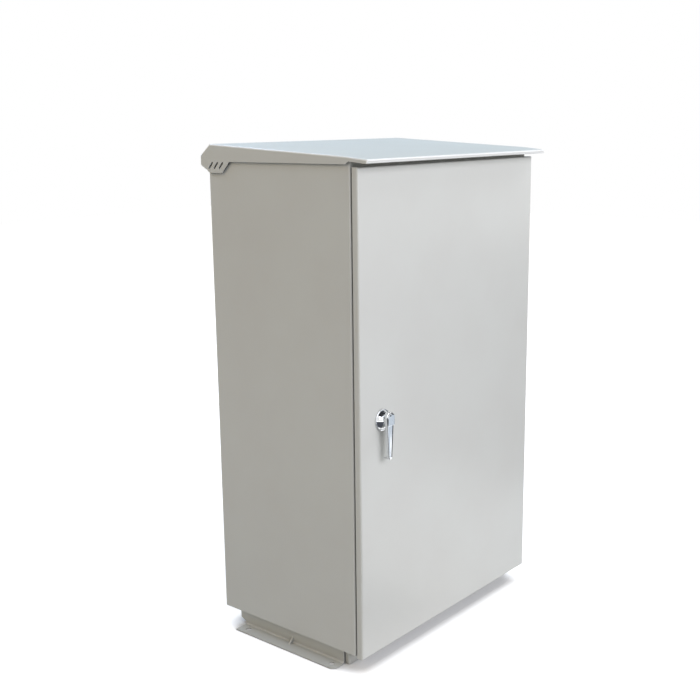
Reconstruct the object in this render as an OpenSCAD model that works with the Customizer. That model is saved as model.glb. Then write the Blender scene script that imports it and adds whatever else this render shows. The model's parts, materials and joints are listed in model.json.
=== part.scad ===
// Outdoor rack cabinet: folded sheet body on two foot rails, sloping rain canopy,
// overlay door on three concealed hinges, lever handle with a latch cam, 19 inch rails and two fans.
// Origin on the floor under the middle of the body, front towards -Y, +Z up, millimetres.

/* [Cabinet body] */
// Width of the body over its side panels
body_w = 600; // [580:1:800]
// Depth of the body from its front flange to its rear flange
body_d = 370; // [350:1:600]
// Height of the body from its bottom panel to its top panel
body_h = 964; // [700:1:1400]
// Thickness of the sheet of the body, roof and door
sheet_t = 1.5; // [1.2:0.1:2]
// Inside radius of the bends in that sheet
bend_r = 2.5; // [2:0.1:3]
// Distance from the door edge to the gasket lip of the body
lip_inset = 22; // [20:0.5:26]
// Length of the gasket lip in front of the body flange
lip_l = 10; // [8:0.5:12]
// Height of the flanges above and below the back panel
rear_flange_w = 22; // [15:1:40]

/* [Roof canopy] */
// Reach of the canopy past each body side
roof_side_over = 6; // [4:0.5:20]
// Reach of the canopy in front of the body
roof_front_over = 45; // [30:1:80]
// Reach of the canopy behind the body
roof_rear_over = 18; // [12:1:40]
// Height of the canopy front edge above the body top
roof_front_rise = 3; // [3:0.5:12]
// Height of the folded front edge
front_edge_h = 7.7; // [6:0.1:12]
// Depth of the flatter visor in front
visor_d = 49; // [40:1:60]
// Rise of the visor to its kink
visor_rise = 5; // [2:0.5:12]
// Rise of the main slope from the kink to the ridge
roof_rise = 20; // [10:1:60]
// Depth of the rear bevel behind the ridge
ridge_setback = 28; // [20:1:40]
// Drop of the rear bevel
ridge_drop = 22.5; // [15:0.5:30]
// Height of the upright rear wall of the canopy
roof_rear_h = 20; // [12:1:40]
// Height of the lower bevel of the hood
hood_bevel_h = 14; // [10:0.5:20]
// Depth of the lower bevel of the hood
hood_bevel_d = 26; // [20:0.5:32]
// Length of the bottom edge of the hood
hood_l = 35.5; // [30:0.5:60]
// Depth of the slanted front edge of the hood
hood_slant_d = 21.5; // [15:0.5:30]
// Depth of the skirt below the body top
skirt_drop = 6.3; // [4:0.1:12]
// Rise of the step where the skirt passes into the visor
skirt_step = 5.3; // [3:0.1:5.5]
// Number of air slots in each hood
hood_slots = 3; // [1:1:4]
// Length of an air slot between its end centres
slot_l = 13.5; // [8:0.5:16]
// Width of an air slot
slot_w = 4; // [2:0.5:6]
// Spacing of the air slots
slot_pitch = 14.7; // [10:0.1:18]
// Lean of the air slots towards the front
slot_lean = 42; // [0:1:50]

/* [Feet and plinth] */
// Height of the body above the floor
foot_h = 41; // [35:1:120]
// Thickness of the foot rails
foot_t = 2.5; // [2:0.1:4]
// Inside radius of the bends of the foot rails
foot_bend_r = 4; // [2:0.5:6]
// Length of the floor flange of a foot rail
foot_l = 279; // [240:1:295]
// Reach of the floor flange past the body side
foot_reach = 13; // [12:1:60]
// Distance from the body side to the web of a foot rail
foot_inset = 19; // [17:0.5:30]
// Width of the upper flange of a foot rail
foot_top_w = 30; // [24:1:50]
// Length of the tail of the web behind the floor flange
foot_tail = 16; // [5:1:22]
// Diameter of an anchor hole
anchor_d = 12; // [8:0.5:14]
// Distance from the outer edge of the floor flange to an anchor hole
anchor_edge = 16; // [15:0.5:17]
// Distance from the front end of the floor flange to an anchor hole
anchor_front = 18.5; // [16:0.5:60]
// Distance from the rear end of the floor flange to an anchor hole
anchor_rear = 22.5; // [16:0.5:60]
// Distance from the body front to the plinth panel
plinth_setback = 36; // [30:1:40]
// Length of the plinth returns
plinth_return = 10; // [8:1:20]

/* [Door] */
// Depth of the door tray
door_t = 14; // [13:0.5:18]
// Gap between the door tray and the body
door_gap = 4; // [3.5:0.1:6]
// Drop of the door below the body bottom
door_drop = 4; // [0:0.5:6]
// Distance from the door top to the body top
door_head_gap = 11.5; // [10:0.5:20]
// Width of the gasket on the door
gasket_w = 12; // [8:0.5:12]
// Width of the crown of a door stiffener
stiffener_w = 30; // [20:1:50]
// Depth of a door stiffener
stiffener_d = 15; // [8:0.5:20]
// Distance from the door edge to the middle of a stiffener
stiffener_edge = 135; // [120:1:180]

/* [Hinges] */
// Radius of a hinge pin
pin_r = 2; // [1.5:0.1:2.2]
// Radius of a hinge barrel
barrel_r = 4; // [3.8:0.1:4.4]
// Length of a hinge barrel
barrel_l = 32; // [20:1:60]
// Thickness of a hinge ear
ear_t = 4; // [3:0.5:6]
// Places of the hinges as shares of the door height
hinge_shares = [0.1, 0.5, 0.9]; // [0.05:0.01:0.95]

/* [Handle] */
// Distance from the door edge to the handle axis
handle_edge = 65; // [62:1:90]
// Height of the handle axis above the floor
handle_z = 514; // [480:1:560]
// Diameter of the domed rosette
rosette_d = 42.5; // [40:0.5:50]
// Height of the rosette dome over its rim
dome_h = 11; // [8:0.5:13]
// Height of the rosette rim
rim_h = 3; // [2:0.5:5]
// Radius of the turning shaft of the lever
shaft_r = 9; // [8:0.5:10]
// Distance from the door face to the front of the lever
lever_stand = 22; // [21:0.5:36]
// Thickness of the lever
lever_t = 7; // [5:0.5:9]
// Height of the lever head above the axis
lever_up = 19; // [18:0.5:26]
// Length of the lever below the axis
lever_down = 76; // [60:1:110]
// Width of the lever head
lever_head_w = 22; // [20:0.5:26]
// Width of the lever tip
lever_tip_w = 11; // [8:0.5:14]
// Side of the square spindle
spindle_w = 8; // [6:0.5:10]
// Reach of the latch cam from the handle axis
cam_l = 55; // [53:1:60]
// Thickness of the latch cam
cam_t = 3; // [2:0.5:4]

/* [Rack rails] */
// Height of one rack unit
rack_unit = 44.45; // [44.45]
// Distance from the body side to the clear opening between the rails
rack_side = 75; // [70:0.5:175]
// Distance from the edge of a rail to its hole column
rail_hole_inset = 7.55; // [7:0.05:10]
// Side of a square rail hole
rail_hole = 9.5; // [9:0.1:10]
// Width of the front flange of a rail
rail_flange_w = 30; // [25:1:32]
// Depth of the side web of a rail
rail_web_d = 28; // [25:1:60]
// Thickness of the rails
rail_t = 2; // [1.5:0.1:2.5]
// Distance from the body front or back to the rails
rail_setback = 64; // [55:1:90]
// Height of a depth bar
bar_h = 34; // [28:1:50]

/* [Fans] */
// Side of a fan frame
fan_w = 92; // [80:1:92]
// Depth of a fan frame
fan_h = 38; // [25:1:38]
// Spacing of the fan screws
fan_hole_spacing = 82.5; // [70:0.5:82.5]
// Distance of a fan from the middle of the cabinet
fan_x = 110; // [60:1:150]
// Distance of the fans behind the middle of the cabinet
fan_y = 50; // [-20:1:60]
// Number of blades of a rotor
blades = 7; // [5:1:9]

/* [Entries in the bottom] */
// Radius of a cable entry
entry_r = 25; // [15:0.5:30]
// Spacing of the cable entries
entry_spacing = 130; // [80:1:140]
// Distance of the cable entries behind the middle
entry_y = 75; // [60:1:90]
// Pitch of the slots of the air inlet
inlet_pitch = 13.4; // [10:0.2:14]
// Depth of the air inlet
inlet_d = 64; // [40:1:70]
// Number of slots of the air inlet
inlet_slots = 7; // [5:1:7]
// Thickness of the filter mat
filter_t = 10; // [6:1:20]

/* [Hidden] */
$fn = 64;

// Colours of the finishes
coat_grey = [0.80, 0.80, 0.77];
zinc_grey = [0.70, 0.71, 0.72];
chrome_grey = [0.85, 0.86, 0.88];
rubber_black = [0.08, 0.08, 0.08];
mat_grey = [0.45, 0.47, 0.48];

// Overrun of every cut and the clearances between pieces
over = 1;
seat_gap = 0.3;
press_gap = 0.01;
run_gap = 0.05;
hole_gap = 0.3;
weld_gap = 0.05;

// Body planes
half_w = body_w / 2;
half_d = body_d / 2;
mid_t = sheet_t / 2;
bend_out = bend_r + sheet_t;
body_top = foot_h + body_h;
inner_w = half_w - sheet_t;
inner_d = half_d - sheet_t;
floor_top = foot_h + sheet_t;
ceiling = body_top - sheet_t;
lip_x = half_w - lip_inset;
lip_bottom = foot_h - door_drop + lip_inset;
lip_top = body_top - door_head_gap - lip_inset;
lip_front = -(half_d + lip_l);

// Door planes
door_back = -(half_d + door_gap);
door_front = door_back - door_t;
door_inner = door_front + sheet_t;
door_bottom = foot_h - door_drop;
door_top = body_top - door_head_gap;
door_h = door_top - door_bottom;
bay_mid = (lip_bottom + lip_top) / 2;

// Fasteners: shank radius, width across flats and head height of each size
small_bolt_r = 2;
small_head_r = 3.6;
small_head_h = 2.2;
bolt_r = 3;
bolt_flats = 10;
bolt_head_h = 4;
foot_bolt_r = 4;
foot_bolt_flats = 13;
foot_bolt_head_h = 5.3;

// Steps of an arc in an outline
bend_steps = 8;

function unit(v) = v / norm(v);
function left_of(v) = [-v[1], v[0]];
function turn_sign(a, b) = sign(a[0] * b[1] - a[1] * b[0]);
function turn(a, b) = acos(max(-1, min(1, a * b)));

// A line of points moved sideways by d, to its left for a positive d
function shifted(path, d) = [
    for (i = [0 : len(path) - 1])
        let (
            a = left_of(unit(path[max(i, 1)] - path[max(i, 1) - 1])),
            b = left_of(unit(path[min(i, len(path) - 2) + 1] - path[min(i, len(path) - 2)]))
        )
        path[i] + d * (a + b) / (1 + a * b)
];

// Straight strip of sheet between two points of its middle line
module strip(a, b, t) {
    side = left_of(unit(b - a)) * t / 2;
    polygon([a + side, a - side, b - side, b + side]);
}

// Ring sector that joins two strips at a bend
module bend(p, d1, d2, trim, t, r) {
    c = p - d1 * trim + left_of(d1) * turn_sign(d1, d2) * (r + t / 2);
    intersection() {
        difference() {
            translate(c) circle(r + t);
            translate(c) circle(r);
        }
        polygon([c, c + 2 * (p - d1 * trim - c), c + 2 * (p - c), c + 2 * (p + d2 * trim - c)]);
    }
}

// Section of a sheet folded at right angles along its middle line, every corner bent to the inside radius r
module folded(path, t, r) {
    n = len(path);
    dirs = [for (i = [0 : n - 2]) unit(path[i + 1] - path[i])];
    trims = [
        for (i = [0 : n - 1])
            i == 0 || i == n - 1 ? 0 : (r + t / 2) * tan(turn(dirs[i - 1], dirs[i]) / 2)
    ];
    for (i = [0 : n - 2])
        strip(path[i] + dirs[i] * trims[i], path[i + 1] - dirs[i] * trims[i + 1], t);
    for (i = [1 : n - 2])
        bend(path[i], dirs[i - 1], dirs[i], trims[i], t, r);
}

// Points of the arc of radius r that rounds the corner p between the directions a and b
function turned(v, a) = [v[0] * cos(a) - v[1] * sin(a), v[0] * sin(a) + v[1] * cos(a)];
function arc_at(p, a, b, r) =
    let (s = turn_sign(a, b), sweep = turn(a, b), spoke = -left_of(a) * s * r)
    r == 0 ? [p] : [
        for (k = [0 : bend_steps])
            p - a * r * tan(sweep / 2) - spoke + turned(spoke, s * sweep * k / bend_steps)
    ];

// Outline whose corners are rounded by the radii given, 0 for a sharp corner
module round_outline(points, radii) {
    n = len(points);
    polygon([
        for (i = [0 : n - 1])
            each arc_at(
                points[i],
                unit(points[i] - points[(i + n - 1) % n]),
                unit(points[(i + 1) % n] - points[i]),
                radii[i]
            )
    ]);
}

// One face of a folded sheet: its middle line moved by d, with the bends as arcs
function fold_face(path, d, r) =
    let (line = shifted(path, d), last = len(path) - 1)
    [
        line[0],
        for (i = [1 : last - 1])
            let (a = unit(path[i] - path[i - 1]), b = unit(path[i + 1] - path[i]))
            each arc_at(line[i], a, b, turn_sign(a, b) * d > 0 ? r : r + 2 * abs(d)),
        line[last]
    ];

function reversed(list) = [for (i = [len(list) - 1 : -1 : 0]) list[i]];

// Section of a sheet folded at any angle
module sloped_fold(path, t, r) {
    polygon(concat(fold_face(path, t / 2, r), reversed(fold_face(path, -t / 2, r))));
}

// Slot with round ends about the origin, l between its end centres along the first axis
module slot(l, w) {
    square([l, w], center = true);
    for (side = [-1, 1])
        translate([side * l / 2, 0]) circle(w / 2);
}

// Outline of two discs on the second axis and the straight flanks that touch both
module tapered(y1, r1, y2, r2) {
    lean = asin((r1 - r2) / (y1 - y2));
    right = [cos(lean), sin(lean)];
    left = [-cos(lean), sin(lean)];
    translate([0, y1]) circle(r1);
    translate([0, y2]) circle(r2);
    polygon([[0, y1] + r1 * right, [0, y1] + r1 * left, [0, y2] + r2 * left, [0, y2] + r2 * right]);
}

// Extrusions of a section along each axis: (x, y) upwards, (y, z) along X, (x, z) along Y
module along_z(z, l) {
    translate([0, 0, z]) linear_extrude(l) children();
}

module along_x(x, l) {
    translate([x, 0, 0]) rotate([90, 0, 90]) linear_extrude(l) children();
}

module along_y(y, l) {
    translate([0, y + l, 0]) rotate([90, 0, 0]) linear_extrude(l) children();
}

module on_right() {
    mirror([1, 0, 0]) children();
}

// Hexagon by its width across flats
hex_corner_share = 1 / sqrt(3);

module hexagon(flats) {
    circle(flats * hex_corner_share, $fn = 6);
}

// Bolt with a hexagon head below z = 0 and a shank of length l above it
module hex_bolt(r, flats, head_h, l) {
    along_z(-head_h, head_h) hexagon(flats);
    along_z(0, l) circle(r);
}

// Side panel section on the left, with or without the gasket lip
module side_section(lip) {
    outer = half_w - mid_t;
    front = -(half_d - mid_t);
    tip = lip ? [[-(lip_x + mid_t), lip_front], [-(lip_x + mid_t), front]] : [[-lip_x, front]];
    folded(concat(tip, [
        [-outer, front],
        [-outer, half_d - mid_t],
        [-lip_x, half_d - mid_t]
    ]), sheet_t, bend_r);
}

module side_panel() {
    color(coat_grey) {
        along_z(foot_h, lip_bottom - foot_h) side_section(false);
        along_z(lip_bottom, lip_top - lip_bottom) side_section(true);
        along_z(lip_top, body_top - lip_top) side_section(false);
    }
}

module left_side_panel() {
    side_panel();
}

module right_side_panel() {
    on_right() side_panel();
}

module back_panel() {
    color(coat_grey)
        along_y(inner_d - sheet_t, sheet_t)
            translate([-(inner_w - bend_r), floor_top + bend_r])
                square([2 * (inner_w - bend_r), ceiling - floor_top - 2 * bend_r]);
}

// Top or bottom panel: a plate between the sides with its front flange, lip and rear flange.
// plate is the level of its outer face, inward the direction to the inside of the cabinet.
module end_panel(plate, lip, inward) {
    front = -(half_d - mid_t);
    middle = plate + inward * mid_t;
    panel_lip = lip - inward * mid_t;
    along_x(-lip_x, 2 * lip_x)
        folded([
            [lip_front, panel_lip],
            [front, panel_lip],
            [front, middle],
            [half_d - mid_t, middle],
            [half_d - mid_t, plate + inward * rear_flange_w]
        ], sheet_t, bend_r);
    for (side = [-1, 1])
        along_z(min(plate, plate + inward * sheet_t), sheet_t)
            translate([side * (lip_x + inner_w) / 2, 0])
                square([inner_w - lip_x, 2 * (inner_d - bend_r)], center = true);
}

// Fan values
fan_wall = 2.5;
fan_bore_r = fan_w / 2 - fan_wall;
fan_hub_r = 19;
fan_strut_w = 5;
fan_strut_h = 4;
fan_axle_r = 2.5;
grille_hub_r = 10;
grille_rings = 4;
grille_rib = 3;
grille_spoke_w = 5;

// Ring slots of a stamped fan grille, crossed by four spokes
module grille_slots() {
    pitch = (fan_bore_r - grille_hub_r) / grille_rings;
    difference() {
        for (i = [0 : grille_rings - 1])
            difference() {
                circle(grille_hub_r + (i + 1) * pitch - grille_rib);
                circle(grille_hub_r + i * pitch);
            }
        for (a = [0, 90])
            rotate(a) square([2 * fan_w, grille_spoke_w], center = true);
    }
}

module at_fans() {
    for (side = [-1, 1])
        translate([side * fan_x, fan_y]) children();
}

module at_fan_screws() {
    for (u = [-1, 1], v = [-1, 1])
        translate([u, v] * fan_hole_spacing / 2) children();
}

// Places of the bolts that hold the roof supports, and the supports themselves
support_flange_w = 24;
support_front_setback = 36;
support_ridge_gap = 2;
ridge_y = half_d + roof_rear_over - ridge_setback;
support_front_y = -(half_d - support_front_setback);
support_rear_y = ridge_y - support_flange_w - bend_out - support_ridge_gap;
support_end_gap = 22;
roof_bolt_setback = 120;
roof_bolt_x = half_w - roof_bolt_setback;

module at_roof_bolts(y) {
    for (side = [-1, 1])
        translate([side * roof_bolt_x, y - support_flange_w / 2]) children();
}

module top_panel() {
    color(coat_grey) difference() {
        end_panel(body_top, lip_top, -1);
        along_z(ceiling - over, sheet_t + 2 * over) {
            at_fans() {
                grille_slots();
                at_fan_screws() circle(small_bolt_r + hole_gap);
            }
            for (y = [support_front_y, support_rear_y])
                at_roof_bolts(y) circle(bolt_r + hole_gap);
        }
    }
}

// Places of the foot bolts and of the earth stud
web_x = half_w - foot_inset;
foot_bolt_round = foot_bolt_flats * hex_corner_share + seat_gap;
foot_bolt_x = web_x - foot_t - foot_bend_r - foot_bolt_round;
foot_bolt_setback = 25;
plinth_gap = 1.5;
plinth_y = -(half_d - plinth_setback);
foot_front = plinth_y + plinth_return + plinth_gap;
foot_rear = foot_front + foot_l;
foot_bolt_ys = [
    foot_front + foot_bolt_setback,
    (foot_front + foot_rear) / 2,
    foot_rear - foot_bolt_setback
];
earth_x = 190;
earth_y = -95;
earth_r = 4;
inlet_y = -55;
inlet_w = inlet_pitch * inlet_slots;

module at_foot_bolts() {
    for (side = [-1, 1], y = foot_bolt_ys)
        translate([side * foot_bolt_x, y]) children();
}

module inlet_slot_row() {
    width = inlet_pitch / 2;
    for (i = [0 : inlet_slots - 1])
        translate([(i + 1 / 2) * inlet_pitch - inlet_w / 2, inlet_y])
            rotate(90) slot(inlet_d - width, width);
}

module at_entry(i) {
    translate([i * entry_spacing, entry_y]) children();
}

module bottom_panel() {
    color(coat_grey) difference() {
        end_panel(foot_h, lip_bottom, 1);
        along_z(foot_h - over, sheet_t + 2 * over) {
            inlet_slot_row();
            for (i = [-1 : 1])
                at_entry(i) circle(entry_r);
            at_foot_bolts() circle(foot_bolt_r + hole_gap);
            translate([earth_x, earth_y]) circle(earth_r + hole_gap);
        }
    }
}

// Roof outline in (y, z), from the front edge over the ridge to the rear
roof_out = half_w + roof_side_over;
roof_front_y = -(half_d + roof_front_over);
roof_rear_y = half_d + roof_rear_over;
roof_front_z = body_top + roof_front_rise;
kink = [roof_front_y + visor_d, roof_front_z + visor_rise];
ridge = [ridge_y, kink[1] + roof_rise];
rear_top = [roof_rear_y, ridge[1] - ridge_drop];
rear_bottom = [roof_rear_y, rear_top[1] - roof_rear_h];
hood_rear = [roof_rear_y - hood_bevel_d, rear_bottom[1] - hood_bevel_h];
hood_front = [hood_rear[0] - hood_l, hood_rear[1]];
skirt_z = body_top - skirt_drop;
step_d = 7;
step_setback = 6.5;
step_y = -(half_d - step_setback);
roof_hem = 12;
hood_back_gap = 4;
hood_end_y = half_d + hood_back_gap;
hood_end = rear_bottom + (hood_rear - rear_bottom) * (roof_rear_y - hood_end_y) / hood_bevel_d;
slot_row_setback = 4.5;
slot_row_rise = 14.5;
slot_y = hood_rear[0] - slot_row_setback;
slot_z = hood_rear[1] + slot_row_rise;

function roof_line() = [
    [roof_front_y + roof_hem, roof_front_z - front_edge_h],
    [roof_front_y, roof_front_z - front_edge_h],
    [roof_front_y, roof_front_z],
    kink, ridge, rear_top, rear_bottom, hood_end
];

module roof_sheet() {
    color(coat_grey)
        along_x(-(roof_out - sheet_t), 2 * (roof_out - sheet_t))
            sloped_fold(shifted(roof_line(), -mid_t), sheet_t, bend_r);
}

module roof_end() {
    color(coat_grey)
        along_x(-roof_out, sheet_t)
            difference() {
                round_outline([
                    [roof_front_y, roof_front_z - front_edge_h],
                    [roof_front_y, roof_front_z],
                    kink, ridge, rear_top, rear_bottom, hood_rear, hood_front,
                    [hood_front[0] - hood_slant_d, skirt_z],
                    [step_y, skirt_z],
                    [step_y - step_d, skirt_z + skirt_step]
                ], [0, bend_out, bend_out, bend_out, bend_out, bend_out, 0, 0, 0, 0, 0]);
                for (i = [0 : hood_slots - 1])
                    translate([slot_y - i * slot_pitch, slot_z])
                        rotate(90 + slot_lean) slot(slot_l, slot_w);
            }
}

module roof_end_left() {
    roof_end();
}

module roof_end_right() {
    on_right() roof_end();
}

// Underside of the main slope of the roof at a given depth
slope_dir = unit(ridge - kink);
function roof_under(y) = kink[1] + (y - kink[0]) * slope_dir[1] / slope_dir[0] - sheet_t / slope_dir[0];

// Z bar that carries the roof: its lower flange lies on the top panel, its upper one under the slope
module roof_support(y) {
    top = roof_under(y) - (mid_t + weld_gap) / slope_dir[0];
    rear = y + support_flange_w;
    length = 2 * (half_w - support_end_gap);
    color(zinc_grey) difference() {
        along_x(-length / 2, length)
            sloped_fold([
                [y - support_flange_w, body_top + mid_t],
                [y, body_top + mid_t],
                [y, top],
                [rear, top + support_flange_w * slope_dir[1] / slope_dir[0]]
            ], sheet_t, sheet_t / 2);
        along_z(body_top - over, sheet_t + 2 * over)
            at_roof_bolts(y) circle(bolt_r + hole_gap);
    }
}

module roof_support_front() {
    roof_support(support_front_y);
}

module roof_support_rear() {
    roof_support(support_rear_y);
}

module roof_bolts() {
    color(zinc_grey)
        for (y = [support_front_y, support_rear_y])
            at_roof_bolts(y)
                translate([0, 0, ceiling])
                    hex_bolt(bolt_r, bolt_flats, bolt_head_h, 2 * sheet_t);
}

// Foot rail on the left: floor flange outwards, web, upper flange inwards under the body
foot_corner = 8;
foot_tail_low = 14;
rib_w = 4;
rib_leg = 12;
rib_y = 4;

module foot_rail() {
    mid = foot_t / 2;
    section = [
        [-(half_w + foot_reach), mid],
        [-(web_x - mid), mid],
        [-(web_x - mid), foot_h - mid],
        [-(web_x - foot_top_w), foot_h - mid]
    ];
    flange_out = half_w + foot_reach;
    web_low = foot_t + foot_bend_r;
    web_high = foot_h - foot_t - foot_bend_r;
    color(coat_grey) difference() {
        union() {
            along_y(foot_front, foot_l) folded(section, foot_t, foot_bend_r);
            along_x(-web_x, foot_t)
                polygon([
                    [foot_rear, foot_h],
                    [foot_rear + foot_tail, foot_h],
                    [foot_rear + foot_tail, foot_tail_low],
                    [foot_rear, web_low],
                    [foot_rear - foot_corner, web_low],
                    [foot_rear - foot_corner, web_high],
                    [foot_rear, web_high]
                ]);
            along_y(rib_y - rib_w / 2, rib_w)
                polygon([[-web_x, foot_t], [-(web_x + rib_leg), foot_t], [-web_x, foot_t + rib_leg]]);
        }
        along_z(-over, foot_t + 2 * over) {
            for (y = [foot_front + anchor_front, foot_rear - anchor_rear])
                translate([-(flange_out - anchor_edge), y]) circle(anchor_d / 2);
            polygon([
                [-(flange_out + over), foot_front + foot_corner + over],
                [-(flange_out - foot_corner - over), foot_front - over],
                [-(flange_out + over), foot_front - over]
            ]);
        }
        along_z(foot_h - foot_t - over, foot_t + 2 * over)
            at_foot_bolts() circle(foot_bolt_r + hole_gap);
    }
}

module left_foot_rail() {
    foot_rail();
}

module right_foot_rail() {
    on_right() foot_rail();
}

module foot_bolts() {
    color(zinc_grey)
        at_foot_bolts()
            translate([0, 0, foot_h - foot_t])
                hex_bolt(foot_bolt_r, foot_bolt_flats, foot_bolt_head_h, foot_t + sheet_t + over);
}

// Plinth panel between the foot rails, its upper flange and its folded ends
plinth_lift = 1;
plinth_flange_w = 20;
plinth_land = 5;
plinth_half = web_x - foot_t - plinth_gap;
plinth_flat = plinth_half - bend_out - plinth_land;

module front_plinth() {
    color(coat_grey)
        along_z(plinth_lift, foot_h - plinth_lift)
            translate([-plinth_flat, plinth_y]) square([2 * plinth_flat, sheet_t]);
}

module plinth_flange() {
    half = web_x - foot_top_w - plinth_gap;
    color(coat_grey)
        along_z(foot_h - sheet_t, sheet_t)
            translate([-half, plinth_y + sheet_t]) square([2 * half, plinth_flange_w]);
}

module plinth_end_left() {
    x = plinth_half - mid_t;
    color(coat_grey)
        along_z(plinth_lift, foot_h - plinth_lift)
            folded([
                [-x, plinth_y + plinth_return],
                [-x, plinth_y + mid_t],
                [-plinth_flat, plinth_y + mid_t]
            ], sheet_t, bend_r);
}

module plinth_end_right() {
    on_right() plinth_end_left();
}

// Rack rails: as many units as fit between the lips, centred on the opening
rail_end = 6;
rack_units = floor((lip_top - lip_bottom - 2 * rail_end) / rack_unit);
rail_l = rack_units * rack_unit + 2 * rail_end;
rail_z = bay_mid - rail_l / 2;
rack_half = half_w - rack_side;
rail_out = rack_half + rail_flange_w;
rail_y = half_d - rail_setback;
hole_shares = [1 / 7, 1 / 2, 6 / 7];
bar_levels = [rail_z + rail_end, rail_z + rail_l - rail_end - bar_h];
rail_bolt_y = rail_y - rail_web_d / 2 - rail_t;
bar_over = 10;

// Front left rail: a flange facing the front and a web towards the middle of the cabinet
module rack_rail() {
    mid = rail_t / 2;
    color(zinc_grey) difference() {
        along_z(rail_z, rail_l)
            folded([
                [-rack_half, -(rail_y - mid)],
                [-(rail_out - mid), -(rail_y - mid)],
                [-(rail_out - mid), -(rail_y - rail_web_d)]
            ], rail_t, rail_t / 2);
        along_y(-(rail_y + over), rail_t + 2 * over)
            for (u = [0 : rack_units - 1], share = hole_shares)
                translate([-(rack_half + rail_hole_inset), rail_z + rail_end + (u + share) * rack_unit])
                    square(rail_hole, center = true);
        for (level = bar_levels)
            translate([0, -rail_bolt_y, level + bar_h / 2])
                rotate([0, -90, 0]) cylinder(rail_out + over, r = bolt_r + hole_gap);
    }
}

// Depth bar on the left at a level: a channel between the side panel and the rail webs
module depth_bar(level) {
    mid = rail_t / 2;
    length = 2 * (rail_y + bar_over);
    color(zinc_grey) difference() {
        along_y(-length / 2, length)
            folded([
                [-(rail_out + mid), level + bar_h],
                [-(rail_out + mid), level + mid],
                [-(inner_w - mid), level + mid],
                [-(inner_w - mid), level + bar_h]
            ], rail_t, rail_t / 2);
        for (end = [-1, 1])
            translate([-(rail_out - over), end * rail_bolt_y, level + bar_h / 2])
                rotate([0, -90, 0]) cylinder(rail_t + 2 * over, r = bolt_r + hole_gap);
    }
}

module rail_bolts() {
    color(zinc_grey)
        for (side = [-1, 1], end = [-1, 1], level = bar_levels)
            translate([side * (rail_out - rail_t), end * rail_bolt_y, level + bar_h / 2])
                rotate([0, side * 90, 0])
                    hex_bolt(bolt_r, bolt_flats, bolt_head_h, 2 * rail_t + bolt_head_h);
}

// Door tray: a face with returns on all four sides, open towards the body
ear_gap = 0.4;
ear_z = barrel_l / 2 + ear_gap;
notch_gap = 1;
pivot = [inner_w - barrel_r - seat_gap, door_inner + barrel_r];
handle_x = -(half_w - handle_edge);
thread_r = 11;

function hinge_z(i) = door_bottom + hinge_shares[i] * door_h;

module tray_block(shrink, back) {
    half = half_w - shrink;
    front = door_front + shrink;
    r = max(bend_out - shrink, bend_r);
    intersection() {
        along_z(door_bottom + shrink, door_h - 2 * shrink)
            round_outline([[-half, front], [half, front], [half, back], [-half, back]], [r, r, 0, 0]);
        along_x(-half, 2 * half)
            round_outline([
                [front, door_bottom + shrink],
                [front, door_top - shrink],
                [back, door_top - shrink],
                [back, door_bottom + shrink]
            ], [r, r, 0, 0]);
    }
}

module door_skin() {
    color(coat_grey) difference() {
        tray_block(0, door_back);
        tray_block(sheet_t, door_back + over);
        for (i = [0 : len(hinge_shares) - 1], side = [-1, 1]) {
            notch_z = hinge_z(i) + side * (ear_z + ear_t / 2) - ear_t / 2 - notch_gap;
            translate([inner_w - over, door_inner, notch_z])
                cube([sheet_t + 2 * over, door_t + over, ear_t + 2 * notch_gap]);
        }
        translate([handle_x, door_front - over, handle_z])
            rotate([-90, 0, 0]) cylinder(sheet_t + 2 * over, r = thread_r + hole_gap);
    }
}

// Four strips of foam gasket inside the door edge, pressed by the lip of the body
module door_gasket() {
    x = lip_x + mid_t;
    bottom = lip_bottom - mid_t;
    top = lip_top + mid_t;
    depth = lip_front - seat_gap - door_inner;
    color(rubber_black)
        along_y(door_inner, depth) {
            for (side = [-1, 1]) {
                translate([side * x - gasket_w / 2, bottom - gasket_w / 2])
                    square([gasket_w, top - bottom + gasket_w]);
            }
            for (z = [bottom, top])
                translate([-(x - gasket_w / 2 - seat_gap), z - gasket_w / 2])
                    square([2 * (x - gasket_w / 2 - seat_gap), gasket_w]);
        }
}

// Hat section that stiffens the door, welded to its inner face
stiffener_brim = 12;
stiffener_x = half_w - stiffener_edge;
stiffener_end = 40;

module door_stiffener(x) {
    crown = stiffener_w / 2 - mid_t;
    brim = stiffener_w / 2 + stiffener_brim;
    face = door_inner + mid_t;
    color(zinc_grey)
        along_z(lip_bottom + stiffener_end, lip_top - lip_bottom - 2 * stiffener_end)
            folded([
                [x - brim, face],
                [x - crown, face],
                [x - crown, face + stiffener_d - sheet_t],
                [x + crown, face + stiffener_d - sheet_t],
                [x + crown, face],
                [x + brim, face]
            ], sheet_t, bend_r / 2);
}

module door_stiffener_left() {
    door_stiffener(-stiffener_x);
}

module door_stiffener_right() {
    door_stiffener(stiffener_x);
}

// Hinge on the right: two ears on a base plate, a pin, and a barrel with its foot on the door
ear_r = 3.6;
base_t = 1.5;
base_over = 3;
arm_w = 7;
foot_w = 9;

module hinge_bracket(i) {
    x0 = lip_x + sheet_t + bend_r + seat_gap;
    base_h = 2 * (ear_z + ear_t + base_over);
    seat = -half_d - base_t;
    color(zinc_grey)
        translate([0, 0, hinge_z(i)]) {
            along_z(-base_h / 2, base_h)
                translate([x0, seat]) square([half_w - bend_out - x0, base_t]);
            for (side = [-1, 1])
                along_z(side * (ear_z + ear_t / 2) - ear_t / 2, ear_t)
                    difference() {
                        union() {
                            translate(pivot) circle(ear_r);
                            polygon([
                                [x0, seat + base_t / 2],
                                [x0, seat],
                                pivot - [ear_r, 0],
                                pivot,
                                pivot + unit([arm_w, arm_w]) * ear_r,
                                [x0 + arm_w, seat],
                                [x0 + arm_w, seat + base_t / 2]
                            ]);
                        }
                        translate(pivot) circle(pin_r + press_gap);
                    }
        }
}

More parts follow.
